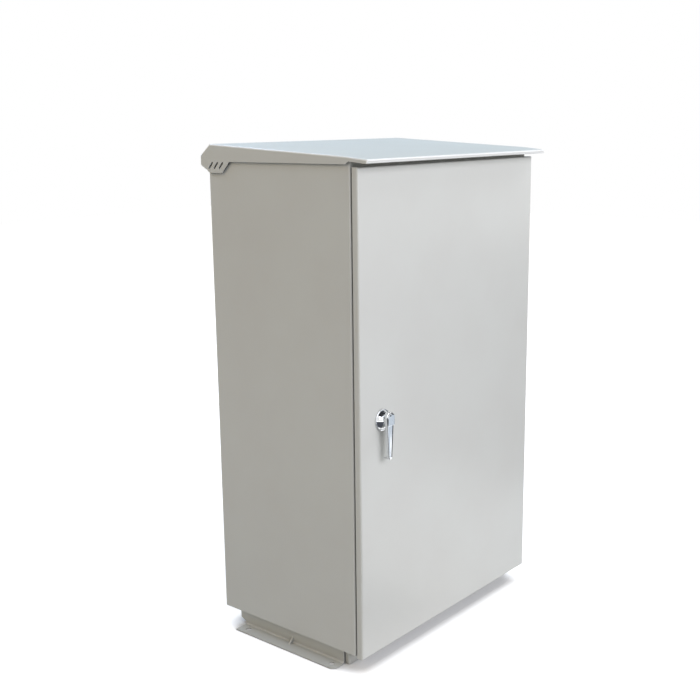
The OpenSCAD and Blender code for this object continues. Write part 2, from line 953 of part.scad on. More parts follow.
pin_head_r = 3;
pin_head_h = 1.2;

module hinge_pin(i) {
    reach = ear_z + ear_t;
    color(zinc_grey)
        translate([pivot[0], pivot[1], hinge_z(i)]) {
            along_z(-reach, 2 * reach) circle(pin_r);
            along_z(reach, pin_head_h) circle(pin_head_r);
        }
}

module hinge_knuckle(i) {
    color(zinc_grey)
        along_z(hinge_z(i) - barrel_l / 2, barrel_l)
            difference() {
                union() {
                    translate(pivot) circle(barrel_r);
                    translate([pivot[0] - foot_w, door_inner]) square([foot_w, barrel_r]);
                }
                translate(pivot) circle(pin_r + run_gap);
            }
}

// Handle pieces are drawn about the handle axis, z upwards being the way out of the door face
module on_handle() {
    translate([handle_x, door_front, handle_z]) rotate([90, 0, 0]) children();
}

thread_l = 12;
nut_flats = 27;
nut_h = 5;
rim_ledge = 2;
dome_base_r = rosette_d / 2 - rim_ledge;
rim_round = 1;

module handle_rosette() {
    ball_r = (dome_base_r * dome_base_r + dome_h * dome_h) / (2 * dome_h);
    color(chrome_grey)
        on_handle() difference() {
            union() {
                rotate_extrude() {
                    round_outline(
                        [[0, 0], [rosette_d / 2, 0], [rosette_d / 2, rim_h], [0, rim_h]],
                        [0, 0, rim_round, 0]
                    );
                    intersection() {
                        translate([0, rim_h + dome_h - ball_r]) circle(ball_r);
                        translate([0, rim_h]) square([rosette_d, dome_h]);
                    }
                }
                along_z(-thread_l, thread_l) circle(thread_r);
            }
            along_z(-thread_l - over, thread_l + rim_h + dome_h + 2 * over) circle(shaft_r + run_gap);
        }
}

module rosette_nut() {
    color(zinc_grey)
        on_handle()
            along_z(-(sheet_t + nut_h), nut_h)
                difference() {
                    hexagon(nut_flats);
                    circle(thread_r + run_gap);
                }
}

// Lever that hangs from its head, with a lip at the tip and a pocket for the key plug
lever_back = lever_stand - lever_t;
tip_lip = 8;
tip_lip_h = 3;
plug_r = 6.5;
plug_l = 6.5;
cover_t = 1.6;
cover_pin_r = 2;
cover_pin_h = 2;
cover_up_gap = 5;
cover_round = 3;
cover_side_gap = 1.5;
cover_low = 8;
cover_sink = 0.3;

module lever_outline() {
    head_r = lever_head_w / 2;
    tip_r = lever_tip_w / 2;
    tapered(lever_up - head_r, head_r, tip_r - lever_down, tip_r);
}

module lever() {
    color(chrome_grey)
        on_handle() difference() {
            union() {
                along_z(lever_back, lever_t) lever_outline();
                along_z(-thread_l, lever_back + thread_l) circle(shaft_r);
                along_z(lever_back - tip_lip, tip_lip)
                    intersection() {
                        lever_outline();
                        translate([-lever_head_w, -lever_down]) square([2 * lever_head_w, tip_lip_h]);
                    }
                translate([0, lever_up - cover_up_gap])
                    along_z(lever_stand, cover_pin_h) circle(cover_pin_r);
            }
            along_z(lever_stand - plug_l, plug_l + over) circle(plug_r + run_gap);
        }
}

// Flat cover that swings aside from the key plug about a pin at the top of the lever head
module key_cover() {
    half = lever_head_w / 2 - cover_side_gap;
    top = lever_up - cover_up_gap;
    color(chrome_grey)
        on_handle()
            along_z(lever_stand + cover_sink, cover_t)
                difference() {
                    union() {
                        translate([0, top - half + cover_round]) circle(half);
                        round_outline([
                            [-half, -cover_low], [half, -cover_low],
                            [half, top - half + cover_round], [-half, top - half + cover_round]
                        ], [cover_round, cover_round, 0, 0]);
                    }
                    translate([0, top]) circle(cover_pin_r + run_gap);
                }
}

key_slot_w = 1.6;
key_slot_l = 8;
key_slot_d = 6;

module key_plug() {
    color(chrome_grey)
        on_handle() difference() {
            along_z(lever_stand - plug_l, plug_l - cover_sink) circle(plug_r);
            along_z(lever_stand - key_slot_d, key_slot_d)
                square([key_slot_w, key_slot_l], center = true);
        }
}

// Square spindle behind the lever shaft, the cam on its end and the screw that clamps the cam
cam_gap = 1;
cam_front = door_front - (-half_d + sheet_t + cam_gap);
spindle_end = cam_front - cam_t;
cam_hub_r = 11;
cam_tip_r = 7;
cam_screw_r = 2.5;
cam_screw_l = 9;

module spindle() {
    color(zinc_grey)
        on_handle() difference() {
            along_z(spindle_end, -thread_l - spindle_end) square(spindle_w, center = true);
            along_z(spindle_end - over, cam_screw_l + 2 * over) circle(cam_screw_r + run_gap);
        }
}

module latch_cam() {
    color(zinc_grey)
        on_handle()
            along_z(spindle_end, cam_t)
                difference() {
                    rotate(180) tapered(0, cam_hub_r, cam_tip_r - cam_l, cam_tip_r);
                    square(spindle_w, center = true);
                }
}

module cam_screw() {
    color(zinc_grey)
        on_handle()
            translate([0, 0, spindle_end])
                hex_bolt(cam_screw_r, bolt_flats, bolt_head_h, cam_screw_l);
}

// Fan under the top panel: square frame with a motor boss on struts, rotor and inlet guard
fan_low = ceiling - fan_h;
fan_ear_t = 4;
rotor_gap = 1;
rotor_tip_gap = 1.5;
blade_t = 1.6;
blade_pitch = 35;
blade_share = 0.86;
rotor_h = fan_h - fan_strut_h - 3 * rotor_gap;

module at_fan(side) {
    translate([side * fan_x, fan_y, fan_low]) children();
}

module fan_frame(side) {
    color(rubber_black)
        at_fan(side) {
            difference() {
                union() {
                    along_z(0, fan_h) circle(fan_bore_r + fan_wall);
                    for (z = [0, fan_h - fan_ear_t])
                        along_z(z, fan_ear_t) square(fan_w, center = true);
                }
                along_z(-over, fan_h + 2 * over) circle(fan_bore_r);
                along_z(-over, fan_h + 2 * over) at_fan_screws() circle(small_bolt_r + hole_gap);
            }
            along_z(0, fan_strut_h) {
                circle(fan_hub_r);
                intersection() {
                    for (a = [45, 135])
                        rotate(a) square([2 * fan_w, fan_strut_w], center = true);
                    circle(fan_bore_r + fan_wall / 2);
                }
            }
            along_z(0, fan_h - 2 * rotor_gap) circle(fan_axle_r);
        }
}

module fan_rotor(side) {
    chord = blade_share * rotor_h / cos(blade_pitch);
    spread = (chord * sin(blade_pitch) + blade_t) / 2;
    tip = sqrt(pow(fan_bore_r - rotor_tip_gap, 2) - pow(spread, 2));
    color(rubber_black)
        at_fan(side)
            translate([0, 0, fan_strut_h + rotor_gap])
                difference() {
                    union() {
                        along_z(0, rotor_h) circle(fan_hub_r);
                        for (i = [0 : blades - 1])
                            rotate(i * 360 / blades)
                                translate([tip / 2, 0, rotor_h / 2])
                                    rotate([blade_pitch, 0, 0])
                                        cube([tip, blade_t, chord], center = true);
                    }
                    along_z(-over, rotor_h + 2 * over) circle(fan_axle_r + run_gap);
                }
}

guard_t = 1.2;

module fan_guard(side) {
    color(zinc_grey)
        at_fan(side)
            along_z(-guard_t, guard_t)
                difference() {
                    square(fan_w, center = true);
                    grille_slots();
                    at_fan_screws() circle(small_bolt_r + hole_gap);
                }
}

module fan_screws() {
    color(zinc_grey)
        for (side = [-1, 1])
            at_fan(side)
                translate([0, 0, -guard_t])
                    at_fan_screws() {
                        along_z(-small_head_h, small_head_h) circle(small_head_r);
                        along_z(0, guard_t + fan_h + sheet_t) circle(small_bolt_r);
                    }
}

// Filter mat over the air inlet, held by a frame on the bottom panel
filter_edge = 8;
frame_lip = 6;
frame_t = 1.2;

module inlet_area(grow) {
    translate([0, inlet_y])
        square([inlet_w + 2 * (filter_edge + grow), inlet_d + 2 * (filter_edge + grow)], center = true);
}

module inlet_filter() {
    color(mat_grey) along_z(floor_top, filter_t) inlet_area(0);
}

module filter_frame() {
    color(zinc_grey) {
        along_z(floor_top, filter_t + seat_gap)
            difference() {
                inlet_area(seat_gap + frame_t);
                inlet_area(seat_gap);
            }
        along_z(floor_top + filter_t + seat_gap, frame_t)
            difference() {
                inlet_area(seat_gap + frame_t);
                inlet_area(-frame_lip);
            }
    }
}

// Rubber grommet with a closed membrane in a cable entry
grommet_brim = 6;
grommet_h = 4;
grommet_wall = 3;
grommet_gap = 0.1;

module cable_grommet(i) {
    color(rubber_black)
        at_entry(i) {
            along_z(foot_h - grommet_h, grommet_h) circle(entry_r + grommet_brim);
            along_z(foot_h, sheet_t) circle(entry_r - grommet_gap);
            difference() {
                along_z(floor_top, grommet_h) circle(entry_r + grommet_brim);
                along_z(floor_top, grommet_h + over) circle(entry_r - grommet_wall);
            }
        }
}

// Earth stud with its nut inside the cabinet
earth_l = 24;
earth_head_r = 8;
earth_head_h = 3;
earth_nut_z = floor_top + earth_head_h;

module earth_stud() {
    color(zinc_grey)
        translate([earth_x, earth_y]) {
            along_z(floor_top, earth_head_h) circle(earth_head_r);
            along_z(foot_h, earth_l) circle(earth_r);
        }
}

module earth_nut() {
    color(zinc_grey)
        translate([earth_x, earth_y])
            along_z(earth_nut_z, foot_bolt_head_h)
                difference() {
                    hexagon(foot_bolt_flats);
                    circle(earth_r + run_gap);
                }
}

left_side_panel();
right_side_panel();
back_panel();
top_panel();
bottom_panel();
roof_sheet();
roof_end_left();
roof_end_right();
roof_support_front();
roof_support_rear();
left_foot_rail();
right_foot_rail();
front_plinth();
plinth_flange();
plinth_end_left();
plinth_end_right();
rack_rail();  // rack_rail_front_left
on_right() rack_rail();  // rack_rail_front_right
mirror([0, 1, 0]) rack_rail();  // rack_rail_rear_left
mirror([0, 1, 0]) on_right() rack_rail();  // rack_rail_rear_right
depth_bar(bar_levels[0]);  // depth_bar_bottom_left
on_right() depth_bar(bar_levels[0]);  // depth_bar_bottom_right
depth_bar(bar_levels[1]);  // depth_bar_top_left
on_right() depth_bar(bar_levels[1]);  // depth_bar_top_right
for (i = [0 : len(hinge_shares) - 1]) {
    hinge_bracket(i);
    hinge_pin(i);
    hinge_knuckle(i);
}
door_skin();
door_gasket();
door_stiffener_left();
door_stiffener_right();
handle_rosette();
rosette_nut();
lever();
spindle();
latch_cam();
cam_screw();
key_plug();
key_cover();
fan_frame(-1);  // fan_frame_left
fan_frame(1);  // fan_frame_right
fan_rotor(-1);  // fan_rotor_left
fan_rotor(1);  // fan_rotor_right
fan_guard(-1);  // fan_guard_left
fan_guard(1);  // fan_guard_right
fan_screws();
inlet_filter();
filter_frame();
for (i = [-1 : 1])
    cable_grommet(i);
earth_stud();
earth_nut();
rail_bolts();
roof_bolts();
foot_bolts();
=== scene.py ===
# %% [markdown]
# # Outdoor rack cabinet
# A folded steel cabinet that stands outdoors on two foot rails, with a sloping rain canopy, one door
# and a chrome lever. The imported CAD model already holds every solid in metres, so it is loaded first
# and never moved. This file only gives each solid the surface of the real one, and swaps a few solids
# for finer meshes that sit in the same place.

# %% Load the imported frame
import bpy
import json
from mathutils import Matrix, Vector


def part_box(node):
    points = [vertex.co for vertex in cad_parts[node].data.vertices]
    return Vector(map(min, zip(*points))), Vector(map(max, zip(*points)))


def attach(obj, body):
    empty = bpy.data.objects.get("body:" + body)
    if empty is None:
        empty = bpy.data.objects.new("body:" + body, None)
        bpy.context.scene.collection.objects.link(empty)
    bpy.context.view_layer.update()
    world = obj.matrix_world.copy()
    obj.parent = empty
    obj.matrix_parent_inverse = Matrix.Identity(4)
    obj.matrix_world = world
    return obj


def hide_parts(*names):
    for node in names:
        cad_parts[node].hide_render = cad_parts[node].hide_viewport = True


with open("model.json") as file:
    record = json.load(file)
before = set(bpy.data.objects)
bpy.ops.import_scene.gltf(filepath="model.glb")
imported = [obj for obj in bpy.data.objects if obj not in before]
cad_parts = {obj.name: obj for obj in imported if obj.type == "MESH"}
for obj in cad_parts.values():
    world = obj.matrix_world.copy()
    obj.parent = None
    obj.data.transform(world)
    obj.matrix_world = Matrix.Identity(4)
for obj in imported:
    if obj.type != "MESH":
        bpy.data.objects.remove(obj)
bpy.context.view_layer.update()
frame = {"nodes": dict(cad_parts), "record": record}

import json
import math

import bmesh
import bpy
from mathutils import Matrix, Vector, noise

MM = 0.001
nodes = frame["nodes"]

# %% [markdown]
# ## The camera
# The picture was taken from the left of the door and a little above it. The place, the aim and the
# slight roll come from a camera fitted to the straight edges of the cabinet, so the edges of the
# render fall where those edges do. A camera can also be aimed with a Track To constraint, but then the
# roll would need a second step; a matrix from three directions holds everything at once.

# %% Camera
eye = Vector((-1777.4, -1429.9, 1075.4)) * MM
forward = Vector((0.74638831, 0.6313825, -0.21038209))
upward = Vector((0.16867347, 0.12632856, 0.97754302))
SENSOR_MM = 36.0
LENS_MM = 54.883

lens = bpy.data.cameras.new("photo_camera")
lens.sensor_width = SENSOR_MM
lens.sensor_fit = "HORIZONTAL"
lens.lens = LENS_MM
camera = bpy.data.objects.new("photo_camera", lens)
bpy.context.scene.collection.objects.link(camera)
sideways = forward.cross(upward).normalized()
turned = Matrix((sideways, sideways.cross(forward), -forward)).transposed()
camera.matrix_world = Matrix.Translation(eye) @ turned.to_4x4()
bpy.context.scene.camera = camera
print("camera", LENS_MM, "mm lens,", round(eye.length, 2), "m from the middle of the floor print")

# %% [markdown]
# ## Helpers for materials
# Colours are written as hex values, as on a colour card, and Blender wants them linear, so one function
# turns them. A second small function adds a node, sets it and links it, which keeps each material down
# to the few lines that say what the surface is.

# %% Colour and node helpers
def srgb(code):
    """Linear colour with alpha from a hex value."""
    shares = [int(code[i:i + 2], 16) / 255 for i in (1, 3, 5)]
    return [s / 12.92 if s <= 0.04045 else ((s + 0.055) / 1.055) ** 2.4 for s in shares] + [1.0]


def add(tree, kind, inputs=None, ramp=None, **settings):
    """Add one node: inputs are socket values or links, ramp is a list of places and hex colours."""
    made = tree.nodes.new(kind)
    for name, value in settings.items():
        setattr(made, name, value)
    for socket, value in (inputs or {}).items():
        if isinstance(value, bpy.types.NodeSocket):
            tree.links.new(value, made.inputs[socket])
        else:
            made.inputs[socket].default_value = value
    for stop, (place, code) in zip(made.color_ramp.elements if ramp else [], ramp or []):
        stop.position, stop.color = place, srgb(code)
    return made


def empty_material(name):
    """A material with no nodes yet, and its tree."""
    made = bpy.data.materials.new(name)
    made.use_nodes = True
    made.node_tree.nodes.clear()
    return made, made.node_tree


print("helpers ready, mid grey is", round(srgb("#808080")[0], 3), "in linear light")

# %% [markdown]
# ## Polyester powder coat
# The sheets are sprayed with dry polyester powder and baked, which flows into a satin skin with a fine
# orange peel. It gives the eye a soft, even grey with no grain, slightly broken highlights, and wide
# faint waves where the sheet under it isn't quite flat. One colour and one roughness would do from afar;
# three noises of different sizes need no unwrapping and hold up close. Real orange peel repeats about
# every 1.5 mm; a pixel here is about 2 mm, so the peel is drawn at 5 mm to show at all. An Ambient
# Occlusion node darkens the colour in gaps and folds, which is painted shade. A copy of the coat gets a
# much lighter colour for rounded edges, which is a painted highlight.

# %% Powder coat
COAT_PEEL = 5 * MM
COAT_CLOUD = 160 * MM
SHEET_WAVE = 420 * MM
PAINTED_SHADE_REACH = 20 * MM
coat, tree = empty_material("polyester_powder_coat_sprayed_and_baked")
place = add(tree, "ShaderNodeTexCoord").outputs["Object"]
cloud = add(tree, "ShaderNodeTexNoise", {"Vector": place, "Scale": 1 / COAT_CLOUD, "Detail": 4.0})
peel = add(tree, "ShaderNodeTexNoise", {"Vector": place, "Scale": 1 / COAT_PEEL, "Detail": 2.0})
wave = add(tree, "ShaderNodeTexNoise", {"Vector": place, "Scale": 1 / SHEET_WAVE, "Detail": 1.0})
tint = add(tree, "ShaderNodeValToRGB", {"Fac": cloud.outputs["Fac"]},
           ramp=[(0.3, "#CDCDC8"), (0.7, "#D0D1CC")])
# painted shade: this AO node darkens the coat's colour in gaps and folds
painted_shade_ao = add(tree, "ShaderNodeAmbientOcclusion", {"Distance": PAINTED_SHADE_REACH}, samples=8)
painted_shade_level = add(tree, "ShaderNodeMapRange", {"Value": painted_shade_ao.outputs["AO"], "From Min": 0.2, "From Max": 0.8,
                                        "To Min": 0.4, "To Max": 1.0})
tint_with_painted_shade = add(tree, "ShaderNodeHueSaturation", {"Color": tint.outputs["Color"],
                                              "Value": painted_shade_level.outputs["Result"]})
gloss = add(tree, "ShaderNodeMapRange", {"Value": peel.outputs["Fac"], "To Min": 0.30, "To Max": 0.42})
flat = add(tree, "ShaderNodeBump", {"Height": wave.outputs["Fac"], "Strength": 0.5, "Distance": 3 * MM})
skin = add(tree, "ShaderNodeBump", {"Height": peel.outputs["Fac"], "Strength": 0.25, "Distance": 0.25 * MM,
                                    "Normal": flat.outputs["Normal"]})
shader = add(tree, "ShaderNodeBsdfPrincipled", {
    "Base Color": tint_with_painted_shade.outputs["Color"], "Roughness": gloss.outputs["Result"], "IOR": 1.5,
    "Normal": skin.outputs["Normal"]})
add(tree, "ShaderNodeOutputMaterial", {"Surface": shader.outputs["BSDF"]})
# painted highlight: a much paler copy of the coat for the canopy's rounded edges
painted_highlight_coat = coat.copy()
painted_highlight_coat.name = "polyester_powder_coat_painted_highlight"
painted_highlight_ramp = painted_highlight_coat.node_tree.nodes[tint.name].color_ramp
for stop, code in zip(painted_highlight_ramp.elements, ("#ECEDEA", "#F2F3F1")):
    stop.color = srgb(code)
print("made", coat.name, "and", painted_highlight_coat.name)

# %% [markdown]
# ## Zinc-plated steel
# Rails, bars and screws are rolled steel with a few microns of bright zinc and a clear passivation. The
# eye sees a soft grey metal, faintly blue and faintly straw where the passivation is thicker, with
# streaks along the rolling direction. The shader's Anisotropic input could draw streaks, but it needs
# tangents; a noise that is stretched along the height gives them to roughness and bump alike.

# %% Zinc plate
ZINC_STREAK = 2 * MM
ZINC_CLOUD = 35 * MM
STREAK_LENGTH = 30
zinc, tree = empty_material("zinc_plated_steel_bright_passivated")
place = add(tree, "ShaderNodeTexCoord").outputs["Object"]
drawn = add(tree, "ShaderNodeMapping", {"Vector": place, "Scale": (1.0, 1.0, 1 / STREAK_LENGTH)})
streak = add(tree, "ShaderNodeTexNoise", {"Vector": drawn.outputs["Vector"], "Scale": 1 / ZINC_STREAK,
                                          "Detail": 3.0})
cloud = add(tree, "ShaderNodeTexNoise", {"Vector": place, "Scale": 1 / ZINC_CLOUD, "Detail": 3.0})
tint = add(tree, "ShaderNodeValToRGB", {"Fac": cloud.outputs["Fac"]},
           ramp=[(0.35, "#BFC4C8"), (0.7, "#CBC9BE")])
gloss = add(tree, "ShaderNodeMapRange", {"Value": streak.outputs["Fac"], "To Min": 0.28, "To Max": 0.46})
rolled = add(tree, "ShaderNodeBump", {"Height": streak.outputs["Fac"], "Strength": 0.2,
                                      "Distance": 0.05 * MM})
shader = add(tree, "ShaderNodeBsdfPrincipled", {
    "Base Color": tint.outputs["Color"], "Metallic": 1.0, "Roughness": gloss.outputs["Result"],
    "Normal": rolled.outputs["Normal"]})
add(tree, "ShaderNodeOutputMaterial", {"Surface": shader.outputs["BSDF"]})
print("made", zinc.name)

# %% [markdown]
# ## Chrome-plated zinc casting
# The lever, the rosette and the lock are cast in zinc, polished and chrome plated. The eye sees a
# mirror, with hard white and dark shapes of the room, bent a little where the polishing wheel has
# worn the casting unevenly. Scratches would be too fine to show at this distance, so only that slow
# waviness and a trace of haze are added to a clean metal.

# %% Chrome plate
CHROME_WAVE = 9 * MM
CHROME_HAZE = 2.5 * MM
chrome, tree = empty_material("chrome_plated_zinc_casting_polished")
place = add(tree, "ShaderNodeTexCoord").outputs["Object"]
wave = add(tree, "ShaderNodeTexNoise", {"Vector": place, "Scale": 1 / CHROME_WAVE, "Detail": 1.0})
haze = add(tree, "ShaderNodeTexNoise", {"Vector": place, "Scale": 1 / CHROME_HAZE, "Detail": 4.0})
gloss = add(tree, "ShaderNodeMapRange", {"Value": haze.outputs["Fac"], "To Min": 0.04, "To Max": 0.12})
tint = add(tree, "ShaderNodeValToRGB", {"Fac": haze.outputs["Fac"]},
           ramp=[(0.3, "#DEE0E2"), (0.7, "#E8EAEB")])
polish = add(tree, "ShaderNodeBump", {"Height": wave.outputs["Fac"], "Strength": 0.12,
                                      "Distance": 0.15 * MM})
shader = add(tree, "ShaderNodeBsdfPrincipled", {
    "Base Color": tint.outputs["Color"], "Metallic": 1.0, "Roughness": gloss.outputs["Result"],
    "Normal": polish.outputs["Normal"]})
add(tree, "ShaderNodeOutputMaterial", {"Surface": shader.outputs["BSDF"]})
print("made", chrome.name)

# %% [markdown]
# ## Foamed rubber
# The door seal and the cable grommets are EPDM rubber. The seal is foamed, so its skin is matt and
# finely pitted, near black with a grey bloom where it has been handled. A Voronoi texture has the round
# cells of foam, which a noise lacks. Pits are about 0.5 mm on the real seal and are drawn at 1.5 mm to
# show.

# %% Rubber
FOAM_PIT = 1.5 * MM
BLOOM = 20 * MM
rubber, tree = empty_material("epdm_rubber_foamed_and_moulded")
place = add(tree, "ShaderNodeTexCoord").outputs["Object"]
pits = add(tree, "ShaderNodeTexVoronoi", {"Vector": place, "Scale": 1 / FOAM_PIT})
cloud = add(tree, "ShaderNodeTexNoise", {"Vector": place, "Scale": 1 / BLOOM, "Detail": 4.0})
tint = add(tree, "ShaderNodeValToRGB", {"Fac": cloud.outputs["Fac"]},
           ramp=[(0.35, "#1C1D1E"), (0.75, "#2B2C2D")])
gloss = add(tree, "ShaderNodeMapRange", {"Value": cloud.outputs["Fac"], "To Min": 0.62, "To Max": 0.85})
foam = add(tree, "ShaderNodeBump", {"Height": pits.outputs["Distance"], "Strength": 0.4,
                                    "Distance": 0.3 * MM})
shader = add(tree, "ShaderNodeBsdfPrincipled", {
    "Base Color": tint.outputs["Color"], "Roughness": gloss.outputs["Result"], "IOR": 1.52,
    "Normal": foam.outputs["Normal"]})
add(tree, "ShaderNodeOutputMaterial", {"Surface": shader.outputs["BSDF"]})
print("made", rubber.name)

# %% [markdown]
# ## Moulded plastic
# Fan frames and rotors are glass-filled PBT, moulded black. The glass near the skin breaks up the
# gloss, so the eye sees a dark satin surface with a fine spark texture, a little greyer on the edges of
# the flow. One noise drives both roughness and bump, because on a mould the two come from the same
# pits; the real ones, about 0.2 mm, are drawn at 1.2 mm to show.

# %% Plastic
SPARK = 1.2 * MM
FLOW = 30 * MM
plastic, tree = empty_material("glass_filled_pbt_moulded")
place = add(tree, "ShaderNodeTexCoord").outputs["Object"]
spark = add(tree, "ShaderNodeTexNoise", {"Vector": place, "Scale": 1 / SPARK, "Detail": 2.0})
flow = add(tree, "ShaderNodeTexNoise", {"Vector": place, "Scale": 1 / FLOW, "Detail": 3.0,
                                        "Distortion": 1.5})
tint = add(tree, "ShaderNodeValToRGB", {"Fac": flow.outputs["Fac"]},
           ramp=[(0.35, "#232426"), (0.75, "#303134")])
gloss = add(tree, "ShaderNodeMapRange", {"Value": spark.outputs["Fac"], "To Min": 0.38, "To Max": 0.60})
grain = add(tree, "ShaderNodeBump", {"Height": spark.outputs["Fac"], "Strength": 0.3,
                                     "Distance": 0.1 * MM})
shader = add(tree, "ShaderNodeBsdfPrincipled", {
    "Base Color": tint.outputs["Color"], "Roughness": gloss.outputs["Result"], "IOR": 1.58,
    "Normal": grain.outputs["Normal"]})
add(tree, "ShaderNodeOutputMaterial", {"Surface": shader.outputs["BSDF"]})
print("made", plastic.name)

# %% [markdown]
# ## Polyester fleece
# The air filter is a mat of tangled polyester fibre. The eye sees an off-white, fully matt surface with
# a soft edge of light and crossing threads. Hair strands could be grown on it, but they are heavy and
# don't export; two noises stretched in different directions stand for the threads instead. They are
# drawn at about 1 mm because the real ones are far too thin to show.

# %% Filter fleece
FIBRE = 1.0 * MM
fleece, tree = empty_material("polyester_fleece_bonded")
place = add(tree, "ShaderNodeTexCoord").outputs["Object"]
lying = add(tree, "ShaderNodeMapping", {"Vector": place, "Scale": (0.12, 1.0, 1.0)})
across = add(tree, "ShaderNodeMapping", {"Vector": place, "Scale": (1.0, 0.12, 1.0),
                                         "Rotation": (0.0, 0.0, 0.6)})
first = add(tree, "ShaderNodeTexNoise", {"Vector": lying.outputs["Vector"], "Scale": 1 / FIBRE,
                                         "Detail": 3.0, "Distortion": 0.8})
second = add(tree, "ShaderNodeTexNoise", {"Vector": across.outputs["Vector"], "Scale": 1 / FIBRE,
                                          "Detail": 3.0, "Distortion": 0.8})
both = add(tree, "ShaderNodeMath", {0: first.outputs["Fac"], 1: second.outputs["Fac"]},
           operation="MAXIMUM")
tint = add(tree, "ShaderNodeValToRGB", {"Fac": both.outputs["Value"]},
           ramp=[(0.4, "#B9B8AF"), (0.7, "#E2E1DA")])
fuzz = add(tree, "ShaderNodeBump", {"Height": both.outputs["Value"], "Strength": 0.7, "Distance": 0.6 * MM})
shader = add(tree, "ShaderNodeBsdfPrincipled", {
    "Base Color": tint.outputs["Color"], "Roughness": 0.95, "IOR": 1.45, "Sheen Weight": 0.4,
    "Normal": fuzz.outputs["Normal"]})
add(tree, "ShaderNodeOutputMaterial", {"Surface": shader.outputs["BSDF"]})
print("made", fleece.name)

# %% [markdown]
# ## Soft edges for every solid
# A CAD solid has edges of no width, and those never catch light. On the real cabinet each cut edge is
# deburred and coated, so it carries a thin bright line. A Bevel modifier gives that without touching
# the mesh. Before it, Weld and a planar Decimate turn the triangles back into whole faces, and after it
# a small node group shades soft across shallow angles and sharp across steep ones.

# %% Edge helper
SOFT_ANGLE = math.radians(32)        # shade soft below this angle
FLAT_WITHIN = math.radians(0.5)      # triangles this close to one plane are one face
EDGE_FROM = math.radians(40)         # round the edges that turn by more than this
EDGE_STEPS = 2
WELD_WITHIN = 0.002 * MM
shading = bpy.data.node_groups.new("shade_by_angle", "GeometryNodeTree")
shading.interface.new_socket("Geometry", in_out="INPUT", socket_type="NodeSocketGeometry")
shading.interface.new_socket("Geometry", in_out="OUTPUT", socket_type="NodeSocketGeometry")
given = add(shading, "NodeGroupInput")
angle = add(shading, "GeometryNodeInputMeshEdgeAngle")
shallow = add(shading, "FunctionNodeCompare", {"A": angle.outputs["Unsigned Angle"], "B": SOFT_ANGLE},
              data_type="FLOAT", operation="LESS_THAN")
faces = add(shading, "GeometryNodeSetShadeSmooth", {"Geometry": given.outputs["Geometry"]}, domain="FACE")
edges = add(shading, "GeometryNodeSetShadeSmooth", {
    "Geometry": faces.outputs["Geometry"], "Shade Smooth": shallow.outputs["Result"]}, domain="EDGE")
add(shading, "NodeGroupOutput", {"Geometry": edges.outputs["Geometry"]})


def shade(piece):
    """Shade by angle, with large faces kept flat."""
    piece.modifiers.new("shade_by_angle", "NODES").node_group = shading
    level = piece.modifiers.new("flat_faces", "WEIGHTED_NORMAL")
    level.keep_sharp = True


def soften(piece, radius):
    """Round the sharp edges of a piece by a radius in metres, and shade it by angle."""
    weld = piece.modifiers.new("weld", "WELD")
    weld.merge_threshold = WELD_WITHIN
    whole = piece.modifiers.new("whole_faces", "DECIMATE")
    whole.decimate_type, whole.angle_limit = "DISSOLVE", FLAT_WITHIN
    edge = piece.modifiers.new("soft_edge", "BEVEL")
    edge.width, edge.segments = radius, EDGE_STEPS
    edge.limit_method, edge.angle_limit = "ANGLE", EDGE_FROM
    edge.use_clamp_overlap = False
    shade(piece)


print("edge helper ready, soft below", round(math.degrees(SOFT_ANGLE)), "degrees")

# %% [markdown]
# ## Dress every solid
# The record names the material slot of each solid, so one loop can hand out the finishes. Thin sheet
# gets a small edge, castings and rubber a larger one. A material is set on the object's own slot, which
# leaves the CAD mesh as it is.

# %% Finishes by slot
finishes = {             # slot: material, and radius of its edges
    "powder_coat": (coat, 0.4 * MM),
    "zinc_plate": (zinc, 0.3 * MM),
    "chrome_plate": (chrome, 0.8 * MM),
    "black_rubber": (rubber, 0.8 * MM),
    "black_plastic": (plastic, 0.4 * MM),
    "filter_mat": (fleece, 1.0 * MM),
}


def paint(piece, material):
    """Set the one material of a piece on its object."""
    if not piece.material_slots:
        piece.data.materials.append(None)
    for held in piece.material_slots:
        held.link = "OBJECT"
        held.material = material


for part in frame["record"]["subparts"]:
    material, radius = finishes[part["material_slot"]]
    paint(nodes[part["node"]], material)
    soften(nodes[part["node"]], radius)

# %% [markdown]
# ## Helpers for new pieces
# A few solids are swapped for meshes of their own. Such a mesh could be drawn by hand in edit mode; here
# bmesh builds it point by point, which keeps every size in view and gives the same result in each run.
# The helpers turn a bmesh into a mesh, join two rings of points, cut one shape out of another for good,
# and put a mesh into the scene on the body that carries it.

# %% Piece helpers
def as_mesh(shape, name):
    """Turn a finished bmesh into a mesh."""
    made = bpy.data.meshes.new(name)
    shape.to_mesh(made)
    shape.free()
    return made


def join_rings(shape, first, second):
    """Faces between two closed rings with the same number of points."""
    return [shape.faces.new((first[k - 1], first[k], second[k], second[k - 1])) for k in range(len(first))]


def new_piece(name, mesh, body, slot, material, *stands_for):
    """Put a mesh into the scene as a piece that rides on a body."""
    mesh.update()
    piece = bpy.data.objects.new(name, mesh)
    bpy.context.scene.collection.objects.link(piece)
    paint(piece, material)
    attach(piece, body)
    if stands_for:
        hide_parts(*stands_for)
    return piece


def cut_away(piece, shape, name):
    """Cut a bmesh out of a piece, and keep what all its modifiers make as its mesh."""
    cutter = bpy.data.objects.new(name, as_mesh(shape, name))
    bpy.context.scene.collection.objects.link(cutter)
    cut = piece.modifiers.new(name, "BOOLEAN")
    cut.operation, cut.solver, cut.object = "DIFFERENCE", "EXACT", cutter
    made = bpy.data.meshes.new_from_object(piece.evaluated_get(bpy.context.evaluated_depsgraph_get()))
    piece.modifiers.clear()
    piece.data = made
    bpy.data.objects.remove(cutter)


# %% [markdown]
# ## Canopy
# The roof is a folded sheet with an end plate welded on at each side. The welds are ground round before
# coating, and that round side edge catches the light as a bright line, which flat CAD plates can't show.
# A paler copy of the coat on it adds a painted highlight.
# So the sheet and both plates become one shell: first an open surface of flat faces with no thickness.

# %% Canopy shell
canopy_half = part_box("roof_end_right")[1].x
